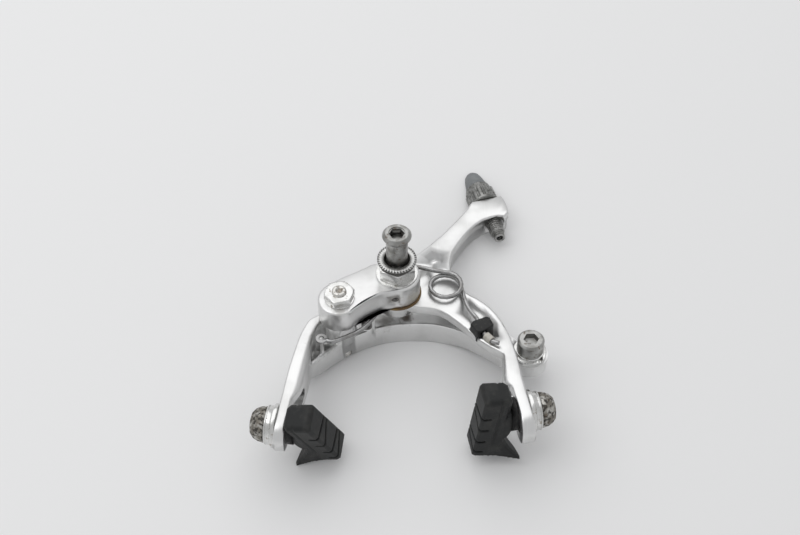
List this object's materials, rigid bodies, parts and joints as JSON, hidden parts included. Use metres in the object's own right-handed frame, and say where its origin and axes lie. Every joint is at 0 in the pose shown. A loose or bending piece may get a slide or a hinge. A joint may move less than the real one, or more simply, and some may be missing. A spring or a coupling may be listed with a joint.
{
  "type": "dual-pivot bicycle caliper brake",
  "caption": "Side-pull rim brake caliper with two sprung arms on a bracket, slotted pads, a cable adjuster and a cable clamp.",
  "frame": {"origin": "centre of the mounting face, on the mounting bolt's axis", "axes": "+Z along the mounting bolt towards the bicycle's frame, +Y away from the pads, +X towards the cable's side"},
  "size_m": [0.1103, 0.1324, 0.0608],
  "materials": {
    "satin_aluminium": "satin",
    "plated_steel": "satin",
    "dark_steel": "satin",
    "rusty_steel": "matte",
    "spring_steel": "satin",
    "bronze": "matte",
    "black_plastic": "matte",
    "pale_plastic": "matte",
    "cap_rubber": "matte",
    "pad_rubber": "matte"
  },
  "bodies": {
    "bracket_body": {"pivot_bracket": "satin_aluminium", "bracket_grub_screw": "dark_steel", "centre_bolt": "plated_steel", "flat_washer": "plated_steel", "lock_nut": "plated_steel", "toothed_washer": "dark_steel", "recessed_nut": "plated_steel", "rear_shim": "bronze", "side_shim": "bronze", "side_pivot_bolt": "rusty_steel", "side_pivot_washer": "dark_steel", "side_pivot_nut": "plated_steel", "return_spring": "spring_steel"},
    "rear_arm": {"y_arm": "satin_aluminium", "y_bush": "bronze", "spring_guide": "black_plastic", "spring_sleeve": "pale_plastic", "right_pad": "pad_rubber", "right_pad_stud": "plated_steel", "right_inner_washer": "black_plastic", "right_outer_washer": "plated_steel", "right_dome_nut": "rusty_steel"},
    "front_arm": {"c_arm": "satin_aluminium", "c_bush": "bronze", "centring_screw": "dark_steel", "anchor_bolt": "plated_steel", "clamp_washer": "plated_steel", "clamp_plate": "plated_steel", "left_pad": "pad_rubber", "left_pad_stud": "plated_steel", "left_inner_washer": "black_plastic", "left_outer_washer": "plated_steel", "left_dome_nut": "rusty_steel"},
    "ring": {"adjuster_ring": "satin_aluminium"},
    "barrel": {"adjuster_barrel": "plated_steel", "adjuster_cap": "cap_rubber"}
  },
  "joints": [
    {"name": "rear_arm_pivot", "type": "hinge", "parent": "bracket_body", "child": "rear_arm", "pos_m": [0, 0, -0.0223], "axis": [0, 0, -1], "range_deg": [0, 12.5], "stiffness_Nm_per_rad": 1.2, "springref_deg": -17.19, "deforming": ["return_spring"]},
    {"name": "front_arm_pivot", "type": "hinge", "parent": "bracket_body", "child": "front_arm", "pos_m": [-0.0218, -0.0112, -0.0286], "axis": [0, 0, 1], "range_deg": [0, 15.5], "stiffness_Nm_per_rad": 1, "springref_deg": -17.19, "deforming": ["return_spring"]},
    {"name": "adjuster_slide", "type": "slide", "parent": "rear_arm", "child": "barrel", "axis": [-0.2284, 0.9736, 0], "range_m": [0, 0.005]},
    {"name": "adjuster_turn", "type": "hinge", "parent": "rear_arm", "child": "ring", "pos_m": [0.0387, 0.0486, -0.024], "axis": [-0.2284, 0.9736, 0], "range_deg": [0, 1810]}
  ],
  "couplings": [
    {"joint": "front_arm_pivot", "follows": "rear_arm_pivot", "ratio": 1.24},
    {"joint": "adjuster_turn", "follows": "adjuster_slide", "rad_per_m": 6283.2}
  ]
}
